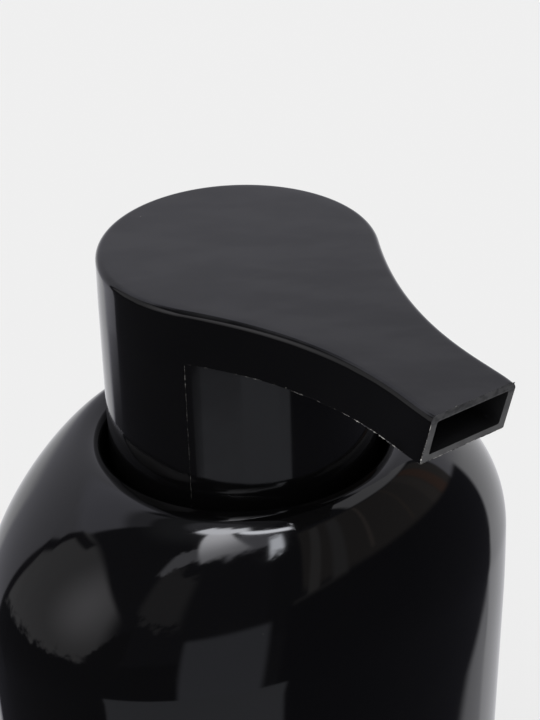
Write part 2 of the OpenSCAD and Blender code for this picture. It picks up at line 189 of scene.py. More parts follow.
def bottle_mesh():
    """The whole skin: under the base, up outside, down the well, up and over the neck, and back inside."""
    around = 240
    well_round, neck_round, lip_round, bore_round, under_round = 0.9, 0.8, 0.4, 0.3, 1.2
    under_z = WELL_Z - WALL
    base = body_profile(0, 8, 26, 8, 44)
    foot_w, foot_d = base[0][0], base[0][1]
    rows = [(foot_w * s, foot_d * s, BASE_RECESS * (1 - smooth_step((s - 0.82) / 0.16)))
            for s in (0.05, 0.3, 0.55, 0.75, 0.84, 0.88, 0.92, 0.96)]
    rows += base
    rows += round_rows(arc((WELL_R + RIM_ROLL, BODY_H - RIM_ROLL), RIM_ROLL, 90, 180, 16))
    rows += round_rows((WELL_R, z) for z in (130, 127, 124, 121, 119))
    rows += round_rows(arc((WELL_R - well_round, WELL_Z + well_round), well_round, 0, -90, 5))
    rows += round_rows((r, WELL_Z) for r in (18, 16, 14.4))
    rows += round_rows(arc((NECK_R + neck_round, WELL_Z + neck_round), neck_round, 270, 180, 4))
    # The bead under the thread
    rows += round_rows([
        (NECK_R, 119.5), (NECK_R + 0.1, 119.7), (NECK_R + 0.6, 120.0), (NECK_R + 0.7, 120.2),
        (NECK_R + 0.7, 120.7), (NECK_R + 0.6, 120.9), (NECK_R + 0.1, 121.15), (NECK_R, 121.3),
    ])
    thread_steps = 40
    rows += round_rows((NECK_R, THREAD_LOW + (THREAD_HIGH - THREAD_LOW) * i / thread_steps)
                       for i in range(thread_steps + 1))
    rows += round_rows([(NECK_R, 132.5)])
    rows += round_rows(arc((NECK_R - lip_round, NECK_Z - lip_round), lip_round, 15, 90, 4))
    rows += round_rows([(11.6, NECK_Z), (11.0, NECK_Z)])
    rows += round_rows(arc((NECK_BORE_R + bore_round, NECK_Z - bore_round), bore_round, 105, 180, 3))
    rows += round_rows((NECK_BORE_R, z) for z in (130, 124, 119, 116))
    rows += round_rows(arc((NECK_BORE_R + lip_round, under_z + lip_round), lip_round, 190, 270, 3))
    rows += round_rows([(14, under_z), (18, under_z)])
    rows += round_rows(arc((WELL_R + WALL - under_round, under_z + under_round), under_round, -90, 0, 5))
    rows += round_rows((WELL_R + WALL, z) for z in (121, 127, 131, 132.9))
    rows += round_rows([(WELL_R + WALL + 0.3, 133.4)])
    rows += list(reversed(body_profile(WALL, 5, 6, 3, 18)))
    inner = rows[-1]
    rows += [(inner[0] * s, inner[1] * s, WALL) for s in (0.6, 0.05)]
    rings = []
    for half_w, half_d, z in rows:
        ring = []
        for i in range(around):
            a = 2 * math.pi * i / around
            extra = 0.0
            on_body = half_w > CREST_R + 1 and half_w != half_d and z > BASE_ROUND
            if half_w == NECK_R and THREAD_LOW <= z <= THREAD_HIGH:
                extra = THREAD_DEPTH * thread_height(a, z)
            elif on_body and i % (around // 2) == 0:
                extra = -SEAM_GROOVE
            ring.append(((half_w + extra) * math.cos(a), (half_d + extra) * math.sin(a), z))
        rings.append(ring)
    verts, faces = ring_skin(rings)
    return mesh_of("bottle_shell", verts, faces)


# The pump head
def half_outline():
    """One side of the head from above: u runs out along the spout, v across it."""
    lift = math.radians(FLANK_ANGLE)
    start = (HEAD_R * math.cos(lift), HEAD_R * math.sin(lift))
    corner = (SPOUT_REACH, SPOUT_TIP_W / 2)
    taper = math.radians(TIP_TAPER)
    sweep = FLANK_SWEEP * (SPOUT_REACH - start[0])
    leave = (start[0] + sweep * math.sin(lift), start[1] - sweep * math.cos(lift))
    arrive = (corner[0] - TIP_RUN * math.cos(taper), corner[1] + TIP_RUN * math.sin(taper))
    side = []
    for i in range(ARC_STEPS + 1):
        a = math.radians(180 - i * (180 - FLANK_ANGLE) / ARC_STEPS)
        side.append((HEAD_R * math.cos(a), HEAD_R * math.sin(a)))
    side[0] = (-HEAD_R, 0.0)
    side += [bezier((start, leave, arrive, corner), i / FLANK_STEPS) for i in range(1, FLANK_STEPS + 1)]
    return side


def top_level(u):
    return HEAD_TOP - SPOUT_DROOP * (max(u, 0) / SPOUT_REACH) ** 2


def along_spout(u):
    return max(u - HEAD_R, 0) / (SPOUT_REACH - HEAD_R)


def sink(u, v):
    """Shallow sinks where the top is thicker behind."""
    dips = ((0, 0, 7.5, 0.035), (-13, 2, 6, 0.02), (22, 3, 9, 0.03), (9, -12, 6, 0.02), (34, -2, 7, 0.02))
    return sum(d * math.exp(-((u - a) ** 2 + (v - b) ** 2) / (w * w)) for a, b, w, d in dips)


def head_skin():
    """Outer and inner walls of the head as one closed skin, before its passages are cut."""
    across = 24
    side = half_outline()
    k = len(side) - 1
    tip = [(SPOUT_REACH, SPOUT_TIP_W / 2 * (1 - 2 * j / across)) for j in range(1, across)]
    outline = side + tip + [(u, -v) for u, v in reversed(side[1:])]
    n = len(outline)
    bm = bmesh.new()

    def add(u, v, z):
        return bm.verts.new((v * MM, -u * MM, z * MM))

    def quads(upper, lower):
        m = len(upper)
        for i in range(m):
            j = (i + 1) % m
            if upper[i] is lower[i] and upper[j] is lower[j]:
                continue
            bm.faces.new((upper[i], upper[j], lower[j], lower[i]))

    def outward(i):
        u, v = outline[i]
        if abs(u - SPOUT_REACH) < 1e-6:
            return (0.0, math.copysign(1.0, v) if abs(abs(v) - SPOUT_TIP_W / 2) < 1e-6 else 0.0)
        a, b = outline[(i + 1) % n], outline[i - 1]
        d = (a[0] - b[0], a[1] - b[1])
        size = math.hypot(*d)
        return (-d[1] / size, d[0] / size)

    # The rounded top edge, from the top down to the side wall
    rows = []
    edge_steps = 8
    for step in range(edge_steps + 1):
        a = math.pi / 2 * (1 - step / edge_steps)
        inset = EDGE_R * (1 - math.cos(a))
        row = []
        for i, (u, v) in enumerate(outline):
            out = outward(i)
            z = top_level(u) - EDGE_R + EDGE_R * math.sin(a)
            row.append(add(u - inset * out[0], v - inset * out[1], z - sink(u, v) * math.sin(a)))
        rows.append(row)
    wall_steps = 8
    for step in range(1, wall_steps + 1):
        t = step / wall_steps
        row = []
        for u, v in outline:
            s = along_spout(u)
            high, low = top_level(u) - EDGE_R, SLAB_Z - SPOUT_DROOP * s
            row.append(add(u - TIP_UNDERCUT * s * t, v, high + (low - high) * t))
        rows.append(row)
    for upper, lower in zip(rows, rows[1:]):
        quads(upper, lower)

    # The top, in strips straight across the spout
    first = rows[0]
    columns = [first[0]] * (across + 1)
    for i in range(1, k + 1):
        left, right = first[i], first[(n - i) % n]
        if i == k:
            row = [left] + first[k + 1:k + across] + [right]
        else:
            row = [left]
            for j in range(1, across):
                p = left.co.lerp(right.co, j / across)
                u, v = -p.y / MM, p.x / MM
                row.append(add(u, v, top_level(u) - sink(u, v)))
            row.append(right)
        for j in range(across):
            corners = [columns[j], columns[j + 1], row[j + 1], row[j]]
            bm.faces.new([c for m, c in enumerate(corners) if c is not corners[m - 1]])
        columns = row

    # The skirt, whose back half runs on from the side wall
    low = rows[-1]
    front_steps = 40
    parting = math.radians(FLANK_ANGLE)
    back = low[n - ARC_STEPS:] + low[:ARC_STEPS + 1]
    front = []
    for j in range(1, front_steps):
        a = parting * (1 - 2 * j / front_steps)
        r = HEAD_R - SEAM_STEP
        front.append(add(r * math.cos(a), r * math.sin(a), SLAB_Z))
    seam = back + front
    outer_round, inner_round, ceiling_round = 0.45, 0.3, 0.6
    skirt_top = SKIRT_Z + outer_round
    ceiling = HEAD_TOP - TOP_WALL
    levels = [(HEAD_R - SKIRT_DRAFT * t, SLAB_Z + (skirt_top - SLAB_Z) * t)
              for t in (0.02, 0.1, 0.3, 0.5, 0.7, 0.9, 1)]
    levels += arc((HEAD_R - SKIRT_DRAFT - outer_round, skirt_top), outer_round, -20, -90, 5)
    levels += arc((HOLLOW_R + inner_round, SKIRT_Z + inner_round), inner_round, 270, 180, 3)
    levels += [(HOLLOW_R, z) for z in (137, 146, 155, ceiling - ceiling_round)]
    levels += arc((HOLLOW_R - ceiling_round, ceiling - ceiling_round), ceiling_round, 15, 90, 4)
    levels += [(HOLLOW_R * s, ceiling) for s in (0.8, 0.5, 0.2)]
    previous = seam
    count = len(seam)
    for r, z in levels:
        row = []
        for i, vert in enumerate(seam):
            a = math.atan2(vert.co.x, -vert.co.y)
            off = 0.0
            if r > HOLLOW_R + 1:
                if i in (0, len(back) - 1):
                    off = SEAM_RIDGE
                elif i >= len(back) and z < SLAB_Z:
                    off = -SEAM_STEP
            row.append(add((r + off) * math.cos(a), (r + off) * math.sin(a), z))
        quads(previous, row)
        previous = row
    middle = add(0, 0, ceiling)
    for i in range(count):
        bm.faces.new((previous[i], previous[(i + 1) % count], middle))

    # The flat underside of the spout, between its lower edge and the skirt
    border = low[ARC_STEPS:n - ARC_STEPS + 1] + list(reversed(front))
    plan = [Vector((-v.co.y / MM, v.co.x / MM)) for v in border]
    total = len(plan)
    edges = [(i, (i + 1) % total) for i in range(total)]
    inner, spacing, near, margin = [], 1.6, 1.2, 0.8
    u = HEAD_R + 1.5
    while u < SPOUT_REACH - TIP_UNDERCUT - 1:
        width = max(abs(p.y) for p in plan if abs(p.x - u) < near) - margin
        steps = max(2, int(2 * width / spacing))
        inner += [Vector((u, -width + 2 * width * j / steps)) for j in range(steps + 1)]
        u += spacing
    result = geometry.delaunay_2d_cdt(plan + inner, edges, [list(range(total))], 1, 1e-5)
    points, triangles, origins = result[0], result[2], result[3]
    verts = []
    for point, origin in zip(points, origins):
        known = [o for o in origin if o < total]
        if known:
            verts.append(border[known[0]])
        else:
            run = point.x / (1 - TIP_UNDERCUT / SPOUT_REACH)
            verts.append(add(point.x, point.y, SLAB_Z - SPOUT_DROOP * along_spout(run)))
    for triangle in triangles:
        bm.faces.new([verts[i] for i in triangle])
    bmesh.ops.recalc_face_normals(bm, faces=bm.faces)
    mesh = bpy.data.meshes.new("head_skin")
    bm.to_mesh(mesh)
    bm.free()
    return mesh


def drum(name, radius, low, high, segments=96, top_radius=None):
    """Closed turned piece on the pump's axis, straight or tapered."""
    top_radius = radius if top_radius is None else top_radius
    turns = [2 * math.pi * i / segments for i in range(segments)]
    ends = ((radius, low), (top_radius, high))
    rings = [[(r * math.cos(a), r * math.sin(a), z) for a in turns] for r, z in ends]
    verts, faces = ring_skin(rings)
    return make_object(name, mesh_of(name, verts, faces))


def passage_section(u):
    """Half width, floor and roof of the passage at a distance along the spout."""
    t = u / SPOUT_REACH
    mouth_half = SPOUT_TIP_W / 2 - MOUTH_WALL
    mouth_roof = HEAD_TOP - SPOUT_DROOP - MOUTH_WALL
    mouth_floor = SLAB_Z - SPOUT_DROOP + MOUTH_WALL
    return (
        CHANNEL_W / 2 + (mouth_half - CHANNEL_W / 2) * t,
        CHANNEL_Z + (mouth_floor - CHANNEL_Z) * t,
        CHANNEL_Z + CHANNEL_H + (mouth_roof - CHANNEL_Z - CHANNEL_H) * t,
    )


def passage_object(name, start, finish, grow, corner):
    """Tapered passage along the spout, a rounded rectangle in section."""
    rings = []
    for i in range(9):
        u = start + (finish - start) * i / 8
        half, low, high = passage_section(u)
        half, low, high = half + grow, low - grow, high + grow
        ring = []
        for cx, cz, turn in ((half, high, 0), (-half, high, 90), (-half, low, 180), (half, low, 270)):
            sx, sz = math.copysign(1, cx), 1 if cz == high else -1
            for step in range(4):
                a = math.radians(turn + 30 * step)
                x = cx - sx * corner + corner * math.cos(a)
                z = cz - sz * corner + corner * math.sin(a)
                ring.append((x, -u, z))
        rings.append(ring)
    verts, faces = ring_skin(rings)
    return make_object(name, mesh_of(name, verts, faces))


def rib_object(name, angle):
    """Rib under the head's top, from the axis out to the skirt."""
    reach, half, drop = HOLLOW_R + 0.5, 0.5, 4
    turn = Matrix.Rotation(math.radians(angle), 2)
    plan = [turn @ Vector(c) for c in ((0, -half), (reach, -half), (reach, half), (0, half))]
    verts = [(p.x, p.y, z) for z in (HEAD_TOP - TOP_WALL - drop, BURIED) for p in plan]
    faces = [(0, 1, 2, 3), (4, 5, 6, 7)] + [(i, (i + 1) % 4, (i + 1) % 4 + 4, i + 4) for i in range(4)]
    return make_object(name, mesh_of(name, verts, faces))


def carve(target, steps):
    """Apply a chain of exact booleans and drop the tools."""
    for tool, operation in steps:
        modifier = target.modifiers.new(tool.name, "BOOLEAN")
        modifier.object = tool
        modifier.operation = operation
        modifier.solver = "EXACT"
    bpy.context.view_layer.update()
    graph = bpy.context.evaluated_depsgraph_get()
    mesh = bpy.data.meshes.new_from_object(target.evaluated_get(graph))
    target.modifiers.clear()
    target.data = mesh
    for tool, operation in steps:
        bpy.data.objects.remove(tool)
    return target


def head_object():
    """The head's skin with its boss, duct and ribs added, and its passages cut."""
    head = make_object("head_shell", head_skin())
    steps = [
        (drum("boss", BOSS_R, BOSS_Z, BURIED), "UNION"),
        (passage_object("duct", -6, HOLLOW_R + 0.7, CHANNEL_FLOOR, 0.8), "UNION"),
        (rib_object("rib_a", 0), "UNION"),
        (rib_object("rib_b", 90), "UNION"),
        (rib_object("rib_c", 180), "UNION"),
        (passage_object("passage", -4.5, SPOUT_REACH + 1, 0, 0.3), "DIFFERENCE"),
        (drum("socket", STEM_R, BOSS_Z - 1, STEM_TOP), "DIFFERENCE"),
        (drum("outlet", OUTLET_HOLE_R, STEM_TOP - 0.5, CHANNEL_Z + 0.5, 48), "DIFFERENCE"),
        (drum("lead", STEM_R + 1.4, BOSS_Z - 1, BOSS_Z + 0.4, 96, STEM_R - 0.03), "DIFFERENCE"),
    ]
    carve(head, steps)
    shade(head.data)
    return head


def resampled(points, step):
    """Points at an even spacing along a line of points."""
    line = [Vector(p) for p in points]
    out, carry = [line[0]], 0.0
    for start, finish in zip(line, line[1:]):
        size = (finish - start).length
        reach = step - carry
        while reach <= size:
            out.append(start.lerp(finish, reach / size))
            reach += step
        carry = size - (reach - step)
    return out


def fin_rings(line, outward, across, height, thick):
    """Sections of a thin fin along a line, whose height varies from point to point."""
    rings = []
    for i, p in enumerate(line):
        out, side = outward(i), across * thick / 2
        foot = p - 0.03 * out
        rings.append([tuple(foot + side), tuple(foot - side), tuple(p + out * height(i))])
    return rings


def flash_mesh():
    """Thin torn flash along the head's parting edges, in millimetres."""
    draw = random.Random(7)
    verts, faces = [], []

    def torn(count, low, high, gaps):
        """Ragged heights, which fall to nothing now and then."""
        rows, level = [], 0.5
        for i in range(count):
            level = min(max(level + draw.uniform(-0.35, 0.35), 0), 1)
            rows.append(low + (high - low) * level ** 2 if draw.random() > gaps else 0.004)
        return rows

    def add_fin(points, outward, across, low, high, thick, gaps=0.12, swell=None, step=0.3):
        line = resampled(points, step)
        heights = torn(len(line), low, high, gaps)
        if swell:
            heights = [h * swell(i / (len(line) - 1)) for i, h in enumerate(heights)]
        rings = fin_rings(line, lambda i: outward(line[i]), Vector(across), lambda i: heights[i], thick)
        more, skin = ring_skin(rings)
        base = len(verts)
        verts.extend(more)
        faces.extend(tuple(base + v for v in face) for face in skin)

    def level_out(p):
        return Vector((math.copysign(0.96, p.x), 0, -0.28))

    tip_low = SPOUT_REACH - TIP_UNDERCUT
    def swell_to_tip(t):
        """Flash that starts strong at the skirt, thins out, and grows again towards the tip."""
        return 0.12 + 0.88 * smooth_step((t - 0.17) / 0.4) + 0.3 * smooth_step((0.1 - t) / 0.1)

    for hand, high in ((-1, 0.15), (1, 0.08)):
        edge = []
        for u, v in half_outline()[ARC_STEPS:]:
            s = along_spout(u)
            edge.append((hand * v, -(u - TIP_UNDERCUT * s), SLAB_Z - SPOUT_DROOP * s))
        add_fin(edge, level_out, (0, 0, 1), 0.0, high, 0.05, gaps=0.22, swell=swell_to_tip)
        # The skirt's parting line
        a = math.radians(FLANK_ANGLE)
        radial = Vector((hand * math.sin(a), -math.cos(a), 0))
        seam = []
        for t in (0.01, 0.5, 1):
            lift = Vector((0, 0, SLAB_Z + (SKIRT_Z + 0.6 - SLAB_Z) * t))
            seam.append(radial * (HEAD_R - SKIRT_DRAFT * t + 0.03) + lift)
        aside = (radial.y, -radial.x, 0)
        add_fin(seam, lambda p: radial, aside, 0.035, 0.07, 0.07, gaps=0.1, step=0.45)
    half = SPOUT_TIP_W / 2
    top, bottom = HEAD_TOP - SPOUT_DROOP, SLAB_Z - SPOUT_DROOP
    left_edge = [(-half, -tip_low, bottom), (-half, -SPOUT_REACH, top - EDGE_R)]
    add_fin(left_edge, lambda p: Vector((-0.9, 0.3, 0.1)), (0, 1, 0), 0.0, 0.16, 0.08, gaps=0.35, step=0.3)
    roof_edge = [(side * (half - 0.3), -SPOUT_REACH + 0.04, top - 0.02) for side in (-1, 1)]
    add_fin(roof_edge, lambda p: Vector((0, 0, 1)), (0, 1, 0), 0.0, 0.05, 0.05, gaps=0.3, step=0.3)
    sill_edge = [(-half, -tip_low, bottom), (half, -tip_low, bottom)]
    add_fin(sill_edge, lambda p: Vector((0, -0.3, -0.95)), (0, 1, 0), 0.01, 0.06, 0.05, gaps=0.15, step=0.3)
    # A nib left at the far top corner
    nib = [(half - 0.25, -SPOUT_REACH + 0.35, top - 0.5), (half - 0.05, -SPOUT_REACH + 0.12, top - 0.35)]
    add_fin(nib, lambda p: Vector((0.75, 0, 0.65)), (0, 1, 0), 0.2, 0.32, 0.2, gaps=0, step=0.07)
    return mesh_of("head_flash", verts, faces, 20)


def collar_thread_mesh():
    """Ridge of the collar's thread, half a pitch off the neck's."""
    root, crest, low, high = NECK_R + 1.35, NECK_R + 0.28, 120.7, 131.2
    foot_gap, phase, per_turn = 0.12, THREAD_PHASE + 0.5, 72
    begin = math.ceil(((low - THREAD_LOW) / THREAD_PITCH - phase) * per_turn)
    finish = math.floor(((high - THREAD_LOW) / THREAD_PITCH - phase) * per_turn)
    rings = []
    for i in range(begin, finish + 1):
        a = 2 * math.pi * i / per_turn
        z = THREAD_LOW + THREAD_PITCH * (i / per_turn + phase)
        fade = smooth_step((i - begin) / 10) * smooth_step((finish - i) / 10)
        peak = root - foot_gap - (root - foot_gap - crest) * fade
        shoulder = peak + 0.08
        section = ((root, -0.95), (shoulder, -0.5), (peak, -0.36), (peak, 0.36), (shoulder, 0.5), (root, 0.95))
        rings.append([(r * math.cos(a), r * math.sin(a), z + dz) for r, dz in section])
    verts, faces = ring_skin(rings)
    return mesh_of("collar_thread", verts, faces)


def coil_mesh():
    """Round wire in the spring's form: both end turns lie closed."""
    per_turn, sides = 48, 14
    low = SPRING_FOOT + SPRING_WIRE / 2 + 0.05
    high = SPRING_HEAD - SPRING_WIRE / 2 - 0.05
    rise = (high - low - 2 * SPRING_WIRE) / (SPRING_TURNS - 2)
    rings = []
    for k in range(int(SPRING_TURNS * per_turn) + 1):
        turn = k / per_turn
        if turn < 1:
            z = low + turn * SPRING_WIRE
        elif turn > SPRING_TURNS - 1:
            z = high - (SPRING_TURNS - turn) * SPRING_WIRE
        else:
            z = low + SPRING_WIRE + (turn - 1) * rise
        a = 2 * math.pi * turn
        ring = []
        for s in range(sides):
            b = 2 * math.pi * s / sides
            r = SPRING_R + SPRING_WIRE / 2 * math.cos(b)
            ring.append((r * math.cos(a), r * math.sin(a), z + SPRING_WIRE / 2 * math.sin(b)))
        rings.append(ring)
    verts, faces = ring_skin(rings)
    return mesh_of("return_coil", verts, faces, 50)


bottle = make_object("bottle_shell", bottle_mesh())
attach(bottle, "bottle")
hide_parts("bottle")
head = head_object()
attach(head, "head")
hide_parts("pump_head")
head_flash = make_object("head_flash", flash_mesh())
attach(head_flash, "head")
collar_thread = make_object("collar_thread", collar_thread_mesh())
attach(collar_thread, "collar")
return_coil = make_object("return_coil", coil_mesh())
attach(return_coil, "pump")
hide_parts("return_spring")
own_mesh(return_coil)

# Node helpers
class Wires:
    """Short forms for the node trees below."""

    def __init__(self, tree):
        self.nodes, self.links = tree.nodes, tree.links

    def feed(self, socket, value):
        if isinstance(value, bpy.types.NodeSocket):
            self.links.new(value, socket)
        elif isinstance(value, tuple) and len(value) == 3 and socket.type == "RGBA":
            socket.default_value = (*value, 1)
        elif value is not None:
            socket.default_value = value

    def math(self, operation, *values):
        node = self.nodes.new("ShaderNodeMath")
        node.operation = operation
        for socket, value in zip(node.inputs, values):
            self.feed(socket, value)
        return node.outputs[0]

    def along(self, direction, axis):
        node = self.nodes.new("ShaderNodeVectorMath")
        node.operation = "DOT_PRODUCT"
        self.feed(node.inputs[0], direction)
        node.inputs[1].default_value = axis
        return node.outputs["Value"]

    def ramp(self, value, start, finish, low=0.0, high=1.0):
        node = self.nodes.new("ShaderNodeMapRange")
        node.interpolation_type = "SMOOTHSTEP"
        names = ("Value", "From Min", "From Max", "To Min", "To Max")
        for name, entry in zip(names, (value, start, finish, low, high)):
            self.feed(node.inputs[name], entry)
        return node.outputs["Result"]

    def mix(self, share, first, second):
        node = self.nodes.new("ShaderNodeMix")
        node.data_type = "RGBA"
        self.feed(node.inputs[0], share)
        self.feed(node.inputs[6], first)
        self.feed(node.inputs[7], second)
        return node.outputs[2]

    def coordinates(self):
        return self.nodes.new("ShaderNodeTexCoord").outputs["Object"]

    def stretched(self, vector, factors):
        node = self.nodes.new("ShaderNodeVectorMath")
        node.operation = "MULTIPLY"
        self.feed(node.inputs[0], vector)
        node.inputs[1].default_value = factors
        return node.outputs[0]

    def noise(self, vector, size, detail=2.0, roughness=0.5):
        """Noise of about the given grain, in millimetres, from 0 to 1."""
        node = self.nodes.new("ShaderNodeTexNoise")
        self.feed(node.inputs["Vector"], vector)
        node.inputs["Scale"].default_value = 1 / (size * MM)
        node.inputs["Detail"].default_value = detail
        node.inputs["Roughness"].default_value = roughness
        return node.outputs["Fac"]

    def specks(self, vector, spacing, size, share):
        """Scattered round specks, in millimetres; share is how many cells hold one."""
        node = self.nodes.new("ShaderNodeTexVoronoi")
        self.feed(node.inputs["Vector"], vector)
        node.inputs["Scale"].default_value = 1 / (spacing * MM)
        near = self.ramp(node.outputs["Distance"], size / spacing, 0.5 * size / spacing)
        chosen = self.math("GREATER_THAN", self.along(node.outputs["Color"], (1, 0, 0)), 1 - share)
        return self.math("MULTIPLY", near, chosen)

    def bump(self, height, depth, before=None):
        """Bump of the given depth in millimetres."""
        node = self.nodes.new("ShaderNodeBump")
        node.inputs["Distance"].default_value = depth * MM
        self.feed(node.inputs["Height"], height)
        if before is not None:
            self.feed(node.inputs["Normal"], before)
        return node.outputs["Normal"]


# Materials
def material(name):
    mat = bpy.data.materials.new(name)
    mat.use_nodes = True
    return mat, Wires(mat.node_tree), mat.node_tree.nodes["Principled BSDF"]


def black_plastic(name, deep, pale, roughness, wave, grain, dust, top_streaks=0.0):
    """Moulded black: slow waves and fine orange peel in the gloss, specks of dust, and paler wispy streaks in
    the base colour on the top.
    """
    mat, w, shader = material(name)
    spot = w.coordinates()
    tone = w.mix(w.noise(spot, 22, 3), deep, pale)
    # Paler wispy streaks mixed into the base colour, on the top only
    if top_streaks:
        run = w.math("MAXIMUM", w.along(spot, (0, -1 / (SPOUT_REACH * MM), 0)), 0)
        drop = w.math("MULTIPLY", w.math("MULTIPLY", run, run), SPOUT_DROOP * MM)
        level = w.math("ADD", w.along(spot, (0, 0, 1)), drop)
        on_top = w.ramp(level, (HEAD_TOP - 0.5) * MM, (HEAD_TOP - 0.15) * MM)
        streak_axes = w.nodes.new("ShaderNodeCombineXYZ")
        w.feed(streak_axes.inputs[0], w.along(spot, (0.28, -0.2, 0)))
        w.feed(streak_axes.inputs[1], w.along(spot, (0.58, 0.82, 0)))
        wisps = w.noise(streak_axes.outputs[0], 6, 5, 0.62)
        share = w.math("MULTIPLY", on_top, w.ramp(wisps, 0.38, 0.62, 0, top_streaks))
        tone = w.mix(share, tone, (0.02, 0.02, 0.021))
    tone = w.mix(w.specks(spot, 2.6, 0.07, dust), tone, (0.32, 0.31, 0.29))
    w.feed(shader.inputs["Base Color"], tone)
    w.feed(shader.inputs["Roughness"], w.ramp(w.noise(spot, 13, 4, 0.6), 0.35, 0.7, *roughness))
    slow = w.bump(w.noise(spot, 17, 1), wave)
    w.feed(shader.inputs["Normal"], w.bump(w.noise(spot, 0.9, 2), grain, slow))
    return mat


def satin_black():
    """The cut end of the spout and its passage: duller, with fine tool marks across."""
    mat, w, shader = material("spout_end_satin")
    spot = w.coordinates()
    marks = w.noise(w.stretched(spot, (0.25, 1, 1)), 0.5, 3, 0.65)
    tone = w.mix(marks, (0.008, 0.008, 0.009), (0.016, 0.016, 0.017))
    frame_low = HEAD_TOP - SPOUT_DROOP - MOUTH_WALL
    over = w.ramp(w.along(spot, (0, 0, 1)), (frame_low - 0.15) * MM, (frame_low + 0.15) * MM)
    rubbed = w.math("MULTIPLY", over, w.ramp(w.noise(spot, 1.1, 4, 0.65), 0.36, 0.6, 0.35, 1.0))
    w.feed(shader.inputs["Base Color"], w.mix(rubbed, tone, (0.06, 0.06, 0.063)))
    w.feed(shader.inputs["Roughness"], w.ramp(w.noise(spot, 2.2, 3), 0.3, 0.7, 0.3, 0.42))
    w.feed(shader.inputs["Normal"], w.bump(marks, 0.012))
    return mat


def scuffed_flash():
    """Thin flash torn off at the edges, whitened where it bent."""
    mat, w, shader = material("flash_scuffed")
    spot = w.coordinates()
    torn = w.ramp(w.noise(spot, 0.7, 3, 0.7), 0.44, 0.66)
    w.feed(shader.inputs["Base Color"], w.mix(torn, (0.02, 0.02, 0.02), (0.6, 0.58, 0.55)))
    w.feed(shader.inputs["Roughness"], w.ramp(torn, 0, 1, 0.2, 0.5))
    w.feed(shader.inputs["Normal"], w.bump(torn, 0.03))
    return mat


def natural_plastic(name, tint, cloudy, roughness, scatter, streak=(1, 1, 1)):
    """Milky unpigmented plastic with cloudy patches and a soft sheen."""
    mat, w, shader = material(name)
    spot = w.coordinates()
    clouds = w.noise(w.stretched(spot, streak), 4.5, 4, 0.6)
    w.feed(shader.inputs["Base Color"], w.mix(clouds, cloudy, tint))
    w.feed(shader.inputs["Roughness"], w.ramp(w.noise(spot, 2.4, 3), 0.3, 0.7, roughness, roughness + 0.14))
    w.feed(shader.inputs["Normal"], w.bump(w.noise(spot, 0.5, 2), 0.008))
    shader.inputs["Subsurface Weight"].default_value = scatter
    shader.inputs["Subsurface Scale"].default_value = 1.2 * MM
    return mat


def matt_black(name):
    """Moulded satin black with a fine spark-eroded grain."""
    mat, w, shader = material(name)
    spot = w.coordinates()
    grain = w.noise(spot, 0.22, 3, 0.6)
    tone = w.mix(w.noise(spot, 7, 3), (0.008, 0.008, 0.009), (0.016, 0.016, 0.017))
    w.feed(shader.inputs["Base Color"], tone)
    w.feed(shader.inputs["Roughness"], w.ramp(grain, 0.3, 0.7, 0.34, 0.48))
    w.feed(shader.inputs["Normal"], w.bump(grain, 0.012))
    return mat


def foam():
    """Closed-cell sealing foam, full of tiny bubbles."""
    mat, w, shader = material("gasket_foam")
    spot = w.coordinates()
    node = w.nodes.new("ShaderNodeTexVoronoi")
    w.feed(node.inputs["Vector"], spot)
    node.inputs["Scale"].default_value = 1 / (0.35 * MM)
    cells = w.ramp(node.outputs["Distance"], 0.15, 0.6)
    w.feed(shader.inputs["Base Color"], w.mix(cells, (0.68, 0.68, 0.66), (0.84, 0.84, 0.82)))
    w.feed(shader.inputs["Normal"], w.bump(cells, 0.05))
    shader.inputs["Roughness"].default_value = 0.85
    return mat


def steel(name, tone, roughness, drawn):
    """Bright steel; drawn wire has fine lines, a polished ball nearly none."""
    mat, w, shader = material(name)
    spot = w.coordinates()
    lines = w.noise(w.stretched(spot, (1, 1, drawn)), 0.3, 3, 0.6)
    w.feed(shader.inputs["Base Color"], w.mix(w.noise(spot, 2.5, 2), tuple(0.88 * c for c in tone), tone))
    w.feed(shader.inputs["Roughness"], w.ramp(lines, 0.3, 0.7, roughness, 1.8 * roughness))
    w.feed(shader.inputs["Normal"], w.bump(lines, 0.002))
    shader.inputs["Metallic"].default_value = 1.0
    return mat


bottle_gloss = black_plastic(
    "bottle_gloss", (0.0011, 0.0011, 0.0013), (0.0019, 0.0018, 0.0019),
    roughness=(0.045, 0.075), wave=0.012, grain=0.0004, dust=0.05)
head_gloss = black_plastic(
    "head_gloss", (0.0013, 0.0013, 0.0015), (0.0026, 0.0025, 0.0026),
    roughness=(0.07, 0.12), wave=0.012, grain=0.0006, dust=0.06, top_streaks=0.42)
satin = satin_black()
flash = scuffed_flash()
closure = matt_black("closure_satin")
pump_plastic = natural_plastic("pump_milky", (0.86, 0.86, 0.83), (0.74, 0.74, 0.71), 0.28, 0.25)
piston_plastic = natural_plastic("piston_waxy", (0.9, 0.9, 0.88), (0.82, 0.82, 0.79), 0.4, 0.35)
tube_plastic = natural_plastic(
    "tube_cloudy", (0.85, 0.85, 0.82), (0.72, 0.73, 0.7), 0.22, 0.25, streak=(1, 1, 0.1))
finishes = {
    "closure_collar": closure,
    "guide_ring": closure,
    "gasket": foam(),
    "pump_cylinder": pump_plastic,
    "stem": pump_plastic,
    "spring_seat": pump_plastic,
    "piston": piston_plastic,
    "dip_tube": tube_plastic,
    "inlet_ball": steel("ball_polished", (0.72, 0.73, 0.75), 0.06, 1),
    "outlet_ball": steel("ball_polished_small", (0.72, 0.73, 0.75), 0.06, 1),
}
for node_name, finish in finishes.items():
    for carried_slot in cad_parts[node_name].material_slots:
        carried_slot.material = finish

bottle.data.materials.append(bottle_gloss)
head_flash.data.materials.append(flash)
collar_thread.data.materials.append(closure)
return_coil.data.materials.append(steel("spring_wire", (0.62, 0.62, 0.64), 0.2, 0.15))
head.data.materials.clear()
for finish in (head_gloss, satin):
    head.data.materials.append(finish)
